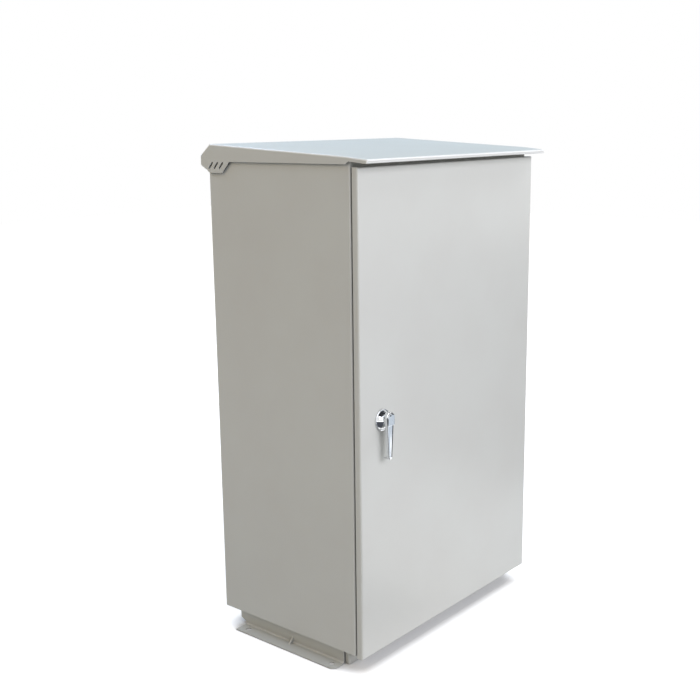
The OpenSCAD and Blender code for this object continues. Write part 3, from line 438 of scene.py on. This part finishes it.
# depth and height in millimetres: along the folded sheet, then round the rest of an end plate
sheet_line = [(-218, 1000.3), (-230, 1000.3), (-230, 1008), (-181, 1013), (175, 1033), (203, 1010.5),
              (203, 990.5), (189, 982.96)]
plate_rest = [(177, 976.5), (141.5, 976.5), (120, 998.7), (-178.5, 998.7), (-185.5, 1004)]


def side_points(side, line):
    """Points of the shell along a line, on one side of the canopy."""
    return [shell.verts.new((side * canopy_half, y * MM, z * MM)) for y, z in line]


shell = bmesh.new()
rows = {side: side_points(side, sheet_line) for side in (-1, 1)}
for i in range(len(sheet_line) - 1):
    shell.faces.new((rows[-1][i], rows[1][i], rows[1][i + 1], rows[-1][i + 1]))
for side in (-1, 1):
    shell.faces.new(rows[side][1:] + side_points(side, plate_rest))
bmesh.ops.recalc_face_normals(shell, faces=shell.faces)
if max(shell.faces, key=lambda face: face.calc_center_median().z).normal.z < 0:
    bmesh.ops.reverse_faces(shell, faces=shell.faces)
canopy = new_piece("canopy", as_mesh(shell, "canopy"), "cabinet", "powder_coat", coat,
                   "roof_sheet", "roof_end_left", "roof_end_right")
print("canopy shell", round(2 * canopy_half / MM), "mm wide")

# %% [markdown]
# Modifiers turn the shell into sheet metal, which is easier to change than rounded points in the mesh. A
# Bevel rounds the folds and the ground welds and marks its new faces with a second material, the paler
# coat that is a painted highlight, and a Solidify gives the sheet its thickness towards the inside.

# %% Ground welds and sheet thickness
SHEET = 1.5 * MM
EDGE_ROUND, ROUND_STEPS = 3.0 * MM, 4
FOLD_FROM = math.radians(15)         # edges that turn by more than this are folds or welds
# painted highlight: the bevel's new faces on the canopy get the paler coat
PAINTED_HIGHLIGHT_SLOT = 1                        # place of the paler coat among the canopy's materials
canopy.data.materials.append(None)
ground = canopy.modifiers.new("ground_welds", "BEVEL")
ground.width, ground.segments, ground.material = EDGE_ROUND, ROUND_STEPS, PAINTED_HIGHLIGHT_SLOT
ground.limit_method, ground.angle_limit, ground.use_clamp_overlap = "ANGLE", FOLD_FROM, False
thick = canopy.modifiers.new("sheet_thickness", "SOLIDIFY")
thick.thickness, thick.offset, thick.use_even_offset = SHEET, -1.0, True
print("sheet", round(SHEET / MM, 1), "mm thick, edges round by", round(EDGE_ROUND / MM, 1), "mm")

# %% [markdown]
# The slots in each end plate let warm air out under the hood. They are short, round-ended and lean
# forward. They could be drawn into the plate's outline, but a Boolean leaves the plate simple: each
# cutter is a stadium pushed through the plate, and all six go into one mesh.

# %% Air slots
SLOT_LENGTH, SLOT_WIDTH, SLOT_LEAN = 13.5, 4.0, 42        # millimetres and degrees
SLOT_FIRST, SLOT_PITCH, SLOT_HEIGHT, SLOT_COUNT = 172.5, 14.7, 991.0, 3
PUNCH_REACH = 5
slot_places = [(SLOT_FIRST - SLOT_PITCH * i, SLOT_HEIGHT) for i in range(SLOT_COUNT)]


def stadium(length, width, steps=6):
    """Outline of a round-ended slot along the first axis."""
    ends = [(side, 180 * k / steps - 90 * side) for side in (1, -1) for k in range(steps + 1)]
    return [(side * length / 2 + width / 2 * math.cos(math.radians(a)),
             width / 2 * math.sin(math.radians(a))) for side, a in ends]


punch = bmesh.new()
lean = Matrix.Rotation(math.radians(90 + SLOT_LEAN), 2)
for side in (-1, 1):
    for y, z in slot_places:
        ring = [lean @ Vector(p) + Vector((y, z)) for p in stadium(SLOT_LENGTH, SLOT_WIDTH)]
        layers = [[punch.verts.new((side * canopy_half + reach * MM, p.x * MM, p.y * MM)) for p in ring]
                  for reach in (-PUNCH_REACH, PUNCH_REACH)]
        punch.faces.new(layers[0])
        punch.faces.new(layers[1])
        join_rings(punch, *layers)
bmesh.ops.recalc_face_normals(punch, faces=punch.faces)
cut_away(canopy, punch, "air_slots")
paint(canopy, coat)
# painted highlight: the rounded welds and folds get the paler coat
canopy.material_slots[PAINTED_HIGHLIGHT_SLOT].material = painted_highlight_coat
shade(canopy)
painted_highlight_faces = sum(face.material_index == PAINTED_HIGHLIGHT_SLOT for face in canopy.data.polygons)
print("canopy has", len(canopy.data.polygons), "faces,", painted_highlight_faces, "on welds and folds, and",
      2 * SLOT_COUNT, "slots")

# %% [markdown]
# ## Door seal
# The seal is foam poured onto the door from a nozzle, so it is one endless bead with a round back and
# round corners, where the CAD has four square strips. A curve with a bevel profile could do it; here a
# ring of points is swept round the path, because the flat side then lies exactly on the door.

# %% Foam bead
def sweep_loop(path, profile, inward):
    """Closed tube: the profile's first value goes across the path, its second along inward."""
    tube = bmesh.new()
    rings = []
    for i, point in enumerate(path):
        along = (path[(i + 1) % len(path)] - path[i - 1]).normalized()
        across = along.cross(inward)
        rings.append([tube.verts.new(point + across * u + inward * v) for u, v in profile])
    for i, ring in enumerate(rings):
        join_rings(tube, rings[i - 1], ring)
    bmesh.ops.recalc_face_normals(tube, faces=tube.faces)
    return as_mesh(tube, "loop")


def rounded_loop(low, high, level, radius, steps=8):
    """Points round a rectangle in X and Z with rounded corners, at one depth."""
    corners = [(high.x - radius, high.z - radius, 0), (low.x + radius, high.z - radius, 90),
               (low.x + radius, low.z + radius, 180), (high.x - radius, low.z + radius, 270)]
    return [Vector((x + radius * math.cos(math.radians(start + 90 * k / steps)), level,
                    z + radius * math.sin(math.radians(start + 90 * k / steps))))
            for x, z, start in corners for k in range(steps + 1)]


BEAD_WIDTH, BEAD_CORNER = 12 * MM, 14 * MM
low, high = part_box("door_gasket")
half = Vector((BEAD_WIDTH / 2, 0, BEAD_WIDTH / 2))
bead_path = rounded_loop(low + half, high - half, low.y, BEAD_CORNER)
bead_height = high.y - low.y
# shares of the width and the height
bead_profile = [(-0.5, 0.0), (-0.49, 0.35), (-0.42, 0.68), (-0.26, 0.92), (0.0, 1.0),
                (0.26, 0.92), (0.42, 0.68), (0.49, 0.35), (0.5, 0.0)]
profile = [(u * BEAD_WIDTH, v * bead_height) for u, v in bead_profile]
seal = new_piece("door_seal_bead", sweep_loop(bead_path, profile, Vector((0, 1, 0))), "door",
                 "black_rubber", rubber, "door_gasket")
shade(seal)
print("seal bead", round(bead_height / MM, 1), "mm high")

# %% [markdown]
# ## Handle rosette
# The rosette is turned and polished, so its dome must be a clean curve: chrome shows the smallest facet.
# The CAD solid arrives as flat triangles, and a Subdivision Surface on those would swell. A short profile
# of radius and height is spun about the handle axis instead, with many steps on the dome and a small round
# on the rim.

# %% Spun rosette
AXIS = Vector((-235, -203, 514)) * MM     # where the handle's axis meets the door face
SPIN_STEPS = 96
DOME_BALL, DOME_SINK = 22.34, -8.34       # the dome's radius, and how far its middle lies behind the face
dome_angles = [math.radians(a) for a in [59.5] + list(range(56, 23, -4))]
# radius and height over the door face in millimetres: bore, neck, rim, then the dome
rosette_profile = [(9.1, -12), (11, -12), (11, 0), (21.25, 0), (21.25, 2.1), (21.1, 2.6), (20.75, 2.9),
                   (20.2, 3.0), (19.5, 3.0)]
rosette_profile += [(DOME_BALL * math.sin(a), DOME_SINK + DOME_BALL * math.cos(a)) for a in dome_angles]


def on_handle(u, v, w):
    """Point of the handle: u to the right, v up, w out of the door, from the axis on the door face."""
    return AXIS + Vector((u, -w, v)) * MM


def handle_ring(shape, radius, height, steps, middle=(0, 0)):
    """Ring of points about an axis out of the door."""
    turns = [2 * math.pi * k / steps for k in range(steps)]
    return [shape.verts.new(on_handle(middle[0] + radius * math.cos(turn),
                                      middle[1] + radius * math.sin(turn), height)) for turn in turns]


spun = bmesh.new()
rings = [handle_ring(spun, radius, height, SPIN_STEPS) for radius, height in rosette_profile]
for i, ring in enumerate(rings):
    join_rings(spun, rings[i - 1], ring)
bmesh.ops.recalc_face_normals(spun, faces=spun.faces)
rosette = new_piece("rosette_dome", as_mesh(spun, "rosette"), "door", "chrome_plate", chrome,
                    "handle_rosette")
shade(rosette)
print("rosette of", len(rosette_profile), "rings")

# %% [markdown]
# ## Lever
# The lever is a casting with a slightly crowned front, which is why its edges carry long dark and light
# lines. A Bevel on a flat plate gives no crown, so the lever is built from loops of the same outline, each
# a little smaller and a little further out. The outline is two circles and the straight flanks that touch
# both.

# %% Lever outline
HEAD_R, TIP_R, LEVER_THICK, PIN_HIGH = 11.0, 5.5, 7.0, 2.0
HEAD_STEPS, FLANK_STEPS, TIP_STEPS = 24, 8, 16
lever_low, lever_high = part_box("lever")
HEAD_TOP, TIP_END = (lever_high.z - AXIS.z) / MM, (lever_low.z - AXIS.z) / MM
HEAD_V, TIP_V = HEAD_TOP - HEAD_R, TIP_END + TIP_R


def arc(radius, level, start, sweep, steps):
    """Points along a circle about a point on the lever's middle line, angles in degrees."""
    turns = [math.radians(start + sweep * k / steps) for k in range(steps + 1)]
    return [(radius * math.cos(turn), level + radius * math.sin(turn)) for turn in turns]


def lever_outline(inset):
    """Points round the lever, with both circles shrunk by the inset."""
    slope = math.degrees(math.asin((HEAD_R - TIP_R) / (HEAD_V - TIP_V)))
    head = arc(HEAD_R - inset, HEAD_V, slope, 180 - 2 * slope, HEAD_STEPS)
    tip = arc(TIP_R - inset, TIP_V, 180 - slope, 180 + 2 * slope, TIP_STEPS)
    flank = [tuple(a + (b - a) * k / FLANK_STEPS for a, b in zip(head[-1], tip[0]))
             for k in range(1, FLANK_STEPS)]
    return head + flank + tip + [(-u, v) for u, v in reversed(flank)]


print("lever", round(HEAD_TOP - TIP_END, 1), "mm long,", len(lever_outline(0)), "points round it")

# %% [markdown]
# The loops go from the back to the front. Those at the back turn a small radius, and those at the front
# step inwards in wide, shallow steps, which makes the crown.

# %% Crowned lever
LEVER_FRONT = (AXIS.y - lever_low.y) / MM - PIN_HIGH
LEVER_BACK = LEVER_FRONT - LEVER_THICK
back_steps = [(1.0, 0.0), (0.35, 0.25), (0.0, 0.9)]       # inset, and height over the back
front_steps = [(0.0, 1.8), (0.2, 1.3), (0.6, 1.0), (1.6, 0.62), (2.8, 0.31), (4.0, 0.1), (5.2, 0.0)]
lever_loops = [(inset, LEVER_BACK + rise) for inset, rise in back_steps]
lever_loops += [(inset, LEVER_FRONT - drop) for inset, drop in front_steps]

cast = bmesh.new()
rings = [[cast.verts.new(on_handle(u, v, w)) for u, v in lever_outline(inset)] for inset, w in lever_loops]
for inner, outer in zip(rings, rings[1:]):
    join_rings(cast, inner, outer)
cast.faces.new(rings[0])
cast.faces.new(rings[-1])
bmesh.ops.recalc_face_normals(cast, faces=cast.faces)
lever = new_piece("lever_casting", as_mesh(cast, "lever"), "handle", "chrome_plate", chrome, "lever")
print("lever of", len(lever_loops), "loops")

# %% [markdown]
# The lock plug sits in a round pocket in the head, and a shaft goes through the rosette behind it. Both
# are plain stacks of rings about the handle's axis. The pocket is cut by a Boolean, because it breaks
# through the crowned front, and the shaft is simply added to the mesh.

# %% Lock pocket, shaft and pin
PLUG_R, POCKET_DEEP = 6.55, 6.5
SHAFT_R, SHAFT_END = 9.0, -12.0
PIN_R, PIN_DROP, PIN_ROOT = 2.0, 5.0, 0.5
FILLET, LAP = 0.3, 0.1                    # small rounds, and how far the shaft laps into the lever
DISC_STEPS = 48


def disc_stack(shape, middle, radii):
    """Closed round body about an axis out of the door, from pairs of radius and height."""
    stack = [handle_ring(shape, radius, height, DISC_STEPS, middle) for radius, height in radii]
    made = [shape.faces.new(stack[0]), shape.faces.new(stack[-1])]
    for lower, upper in zip(stack, stack[1:]):
        made += join_rings(shape, lower, upper)
    bmesh.ops.recalc_face_normals(shape, faces=made)


pocket = bmesh.new()
disc_stack(pocket, (0, 0), [(PLUG_R, LEVER_FRONT - POCKET_DEEP), (PLUG_R, LEVER_FRONT + PIN_HIGH)])
cut_away(lever, pocket, "lock_pocket")
paint(lever, chrome)

more = bmesh.new()
more.from_mesh(lever.data)
disc_stack(more, (0, 0), [(SHAFT_R, SHAFT_END), (SHAFT_R, LEVER_BACK - (FILLET + LAP)),
                          (SHAFT_R + FILLET, LEVER_BACK + LAP)])
disc_stack(more, (0, HEAD_TOP - PIN_DROP), [
    (PIN_R, LEVER_FRONT - PIN_ROOT), (PIN_R, LEVER_FRONT + PIN_HIGH - FILLET),
    (PIN_R - FILLET, LEVER_FRONT + PIN_HIGH)])
print("pocket", round(2 * PLUG_R, 1), "mm wide, shaft", round(2 * SHAFT_R, 1), "mm thick")

# %% [markdown]
# The tip of the lever ends in a lip that hooks back towards the door, where a finger pulls. A section of
# the lip is set round the tip's circle in small turns, because an extruded outline would leave its
# end square.

# %% Hooked lip
HOOK_FROM, HOOK_TURN, HOOK_STEPS = -150, 10, 12           # degrees round the tip
# inset from the tip's edge, and height over the lever's back
hook_section = [(0.0, 0.6), (0.0, -6.4), (0.4, -7.4), (1.2, -7.8), (1.9, -7.2), (2.2, -6.0), (2.6, -2.0),
                (3.6, 0.6)]
hook = []
for k in range(HOOK_STEPS + 1):
    turn = math.radians(HOOK_FROM + HOOK_TURN * k)
    hook.append([more.verts.new(on_handle((TIP_R - inset) * math.cos(turn),
                                          TIP_V + (TIP_R - inset) * math.sin(turn), LEVER_BACK + out))
                 for inset, out in hook_section])
made = [more.faces.new(hook[0]), more.faces.new(hook[-1])]
for near, far in zip(hook, hook[1:]):
    made += join_rings(more, near, far)
bmesh.ops.recalc_face_normals(more, faces=made)
more.to_mesh(lever.data)
more.free()
shade(lever)
print("lever has", len(lever.data.polygons), "faces")

# %% [markdown]
# ## Filter mat
# The fleece lies in a frame on the floor of the cabinet. A cut mat is never a clean block: its top is
# uneven and its edges are soft. A Displace modifier would swell it; instead a box is divided finely and
# its top is pushed inwards by a noise that is the same in every run, so the mat stays within the size that
# the frame gives it.

# %% Fleece mat
MAT_CUTS = 23
LUMP_WAVES, TUFT_WAVES = 9.0, 23.0                        # across the mat
LUMP_SHARE, TUFT_SHARE = 0.5, 0.3
TOP_SINK, RIM_SINK, RIM_POWER = 0.16, 0.25, 14            # shares of the mat's half height
low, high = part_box("inlet_filter")
mat = bmesh.new()
bmesh.ops.create_cube(mat, size=1.0)
bmesh.ops.subdivide_edges(mat, edges=mat.edges, cuts=MAT_CUTS, use_grid_fill=True)
size, middle = high - low, (high + low) / 2
for vert in mat.verts:
    bump = noise.noise(vert.co * LUMP_WAVES) * LUMP_SHARE + noise.noise(vert.co * TUFT_WAVES) * TUFT_SHARE
    rim = max(abs(vert.co.x), abs(vert.co.y)) * 2
    sink = TOP_SINK * (0.5 + 0.5 * bump) + RIM_SINK * rim ** RIM_POWER
    if vert.co.z > 0:
        vert.co.z *= 1 - sink
    vert.co = Vector([middle[i] + vert.co[i] * size[i] for i in range(3)])
bmesh.ops.recalc_face_normals(mat, faces=mat.faces)
filter_mat = new_piece("filter_fleece_mat", as_mesh(mat, "filter_mat"), "cabinet", "filter_mat", fleece,
                       "inlet_filter")
shade(filter_mat)
print("filter mat", [round(v / MM) for v in size], "mm")

# %% [markdown]
# ## Floor and backdrop
# The cabinet stands on a plain pale floor. To the camera the floor is lit white paper that runs out to a
# white room, so the shadow is all that marks it; to the light it is a plain grey, which keeps the bounce
# on the sides low. Light Path tells the two apart, and mirrors see what the camera sees. In nooks under
# the cabinet an Ambient Occlusion node takes the glow away, a painted shadow on the floor, and further
# off the glow rises to full white.

# %% Floor
FLOOR_SIZE, FLOOR_DROP = 18.0, 0.2 * MM
FLOOR_PAINTED_SHADOW_REACH = 50 * MM


def seen_share(tree):
    """One for rays from the camera, mirrors and glass, zero for light that only bounces."""
    path = add(tree, "ShaderNodeLightPath").outputs
    seen = add(tree, "ShaderNodeMath", {0: path["Is Camera Ray"], 1: path["Is Glossy Ray"]},
               operation="MAXIMUM")
    clear = add(tree, "ShaderNodeMath", {0: seen.outputs["Value"], 1: path["Is Transmission Ray"]},
                operation="MAXIMUM")
    return clear.outputs["Value"]


def flat_sheet(name, wide, high, material):
    """A rectangle about the origin, linked into the scene."""
    mesh = bpy.data.meshes.new(name)
    mesh.from_pydata([(x * wide / 2, y * high / 2, 0) for x, y in ((-1, -1), (1, -1), (1, 1), (-1, 1))],
                     [], [(0, 1, 2, 3)])
    mesh.materials.append(material)
    held = bpy.data.objects.new(name, mesh)
    bpy.context.scene.collection.objects.link(held)
    return held


paper, tree = empty_material("white_paper_floor")
grey = add(tree, "ShaderNodeBsdfDiffuse", {"Color": srgb("#BDBDBB")})
shaded = add(tree, "ShaderNodeBsdfDiffuse", {"Color": srgb("#E6E6E6")})
spot = add(tree, "ShaderNodeTexCoord").outputs["Object"]
away = add(tree, "ShaderNodeVectorMath", {0: spot}, operation="LENGTH")
level = add(tree, "ShaderNodeMapRange", {"Value": away.outputs["Value"], "From Min": 0.7, "From Max": 1.8,
                                         "To Min": 0.72, "To Max": 1.0})
# painted shadow: AO dims the floor's glow in nooks under the cabinet
painted_shade_ao = add(tree, "ShaderNodeAmbientOcclusion", {"Distance": FLOOR_PAINTED_SHADOW_REACH}, samples=16)
glow_less_painted_shadow = add(tree, "ShaderNodeMapRange", {"Value": painted_shade_ao.outputs["AO"], "From Min": 0.62, "From Max": 0.9,
                                        "To Min": 0.05, "To Max": level.outputs["Result"]})
lit = add(tree, "ShaderNodeEmission", {"Color": srgb("#FFFFFF"), "Strength": glow_less_painted_shadow.outputs["Result"]})
white = add(tree, "ShaderNodeAddShader", {0: shaded.outputs["BSDF"], 1: lit.outputs["Emission"]})
either = add(tree, "ShaderNodeMixShader", {"Fac": seen_share(tree), 1: grey.outputs["BSDF"],
                                           2: white.outputs["Shader"]})
add(tree, "ShaderNodeOutputMaterial", {"Surface": either.outputs["Shader"]})
floor = flat_sheet("floor", FLOOR_SIZE, FLOOR_SIZE, paper)
floor.location.z = -FLOOR_DROP
print("floor", FLOOR_SIZE, "m square")

# %% [markdown]
# ## Studio light
# The room itself gives only a weak warm light from all round, so that gaps and folds stay dark. A wide
# soft box stands well in front of the door: far away it lights a tall door evenly, and its width keeps
# the shadow of the handle soft. A warm one lights the left side, and a small one from the right fills
# the top of the door. A long cool strip hangs high behind the cabinet, where the ground roof edge mirrors
# it to the camera as a bright line. So the door is the brightest wall, the side is a step darker and
# warm, and the roof is a little blue. The strengths are set so that a colour renders about as written.

# %% World and lamps
room = bpy.data.worlds.new("soft_white_room")
bpy.context.scene.world = room
room.use_nodes = True
tree = room.node_tree
tree.nodes.clear()
tent = add(tree, "ShaderNodeBackground", {"Color": srgb("#FFFBDE"), "Strength": 0.18})
white = add(tree, "ShaderNodeBackground", {"Color": srgb("#FFFFFF"), "Strength": 1.0})
either = add(tree, "ShaderNodeMixShader", {"Fac": seen_share(tree), 1: tent.outputs["Background"],
                                           2: white.outputs["Background"]})
add(tree, "ShaderNodeOutputWorld", {"Surface": either.outputs["Shader"]})


def soft_box(name, place, aim, wide, high, watts, code):
    """An area lamp at a place, facing a point."""
    lamp = bpy.data.lights.new(name, "AREA")
    lamp.shape, lamp.size, lamp.size_y, lamp.energy = "RECTANGLE", wide, high, watts
    lamp.color = srgb(code)[:3]
    held = bpy.data.objects.new(name, lamp)
    bpy.context.scene.collection.objects.link(held)
    held.location = place
    held.rotation_euler = (Vector(aim) - Vector(place)).to_track_quat("-Z", "Y").to_euler()
    return held


lamps = [
    soft_box("front_soft_box", (-0.7, -5.0, 3.0), (-0.1, -0.2, 0.65), 6.6, 3.2, 302, "#F4F5FF"),
    soft_box("left_soft_box", (-2.6, 0.9, 2.4), (-0.3, 0.0, 0.5), 2.0, 2.0, 15, "#FFDDA8"),
    soft_box("right_soft_box", (2.0, -0.8, 2.7), (0.0, -0.23, 1.0), 0.8, 0.8, 22, "#F0F5FF"),
    soft_box("rear_strip_box", (-0.1, 2.5, 3.4), (-0.1, 0.0, 1.0), 4.5, 1.0, 74, "#BCD8FF"),
]
print("lamps:", ", ".join(f"{lamp.name} {lamp.data.energy:.0f} W" for lamp in lamps))

# %% [markdown]
# ## Cards for the reflections
# Chrome shows only what stands around it, and in an all-white room it would look like white plastic. A
# photographer sets cards just out of the picture. A dark one lies on the floor in front of the door and
# another hangs above it, so the dome shows a white band between two dark patches. One to the right draws
# the dark line along the lever, and a grey-blue one on the floor gives the lever's front its tone. A pale
# blue card behind the cabinet tints the roof, which the camera sees at a glancing angle. The cards are
# seen in reflections alone; they cast no shadow and take no light from the coat.

# %% Reflection cards
def card_finish(name, kind, code):
    """A plain card of one colour, matt or lit by the kind of its shader."""
    made, tree = empty_material(name)
    shader = add(tree, kind, {"Color": srgb(code)})
    add(tree, "ShaderNodeOutputMaterial", {"Surface": shader.outputs[0]})
    return made


dark = card_finish("dark_card_matt", "ShaderNodeBsdfDiffuse", "#585A60")
pale = card_finish("pale_blue_card_lit", "ShaderNodeEmission", "#D8F0FC")
grey_blue = card_finish("grey_blue_card_lit", "ShaderNodeEmission", "#DCE6F2")


def hang_card(name, material, place, aim, wide, high):
    """A flat card at a place that faces a point and shows in reflections only."""
    held = flat_sheet(name, wide, high, material)
    held.location = place
    held.rotation_euler = (Vector(aim) - Vector(place)).to_track_quat("Z", "Y").to_euler()
    held.visible_camera = held.visible_diffuse = held.visible_shadow = False
    held.visible_transmission = False
    return held


cards = [
    hang_card("floor_card", dark, (-1.17, -1.25, 0.002), (-1.17, -1.25, 1.0), 2.45, 1.9),
    hang_card("hanging_card", dark, (0.06, -0.74, 1.6), (-0.235, -0.21, 0.514), 2.4, 1.1),
    hang_card("side_card", dark, (0.9, -0.58, 0.32), (-0.235, -0.23, 0.5), 0.8, 0.8),
    hang_card("grey_card", grey_blue, (1.6, -2.1, 0.002), (1.6, -2.1, 1.0), 2.8, 1.8),
    hang_card("sky_card", pale, (2.2, 1.8, 1.9), (0.0, 0.0, 1.0), 3.4, 1.9),
]
print("cards:", ", ".join(held.name for held in cards))

# %% [markdown]
# ## Finish
# The view transform is Standard, so a written colour is the colour on screen.

bpy.context.scene.view_settings.view_transform = "Standard"
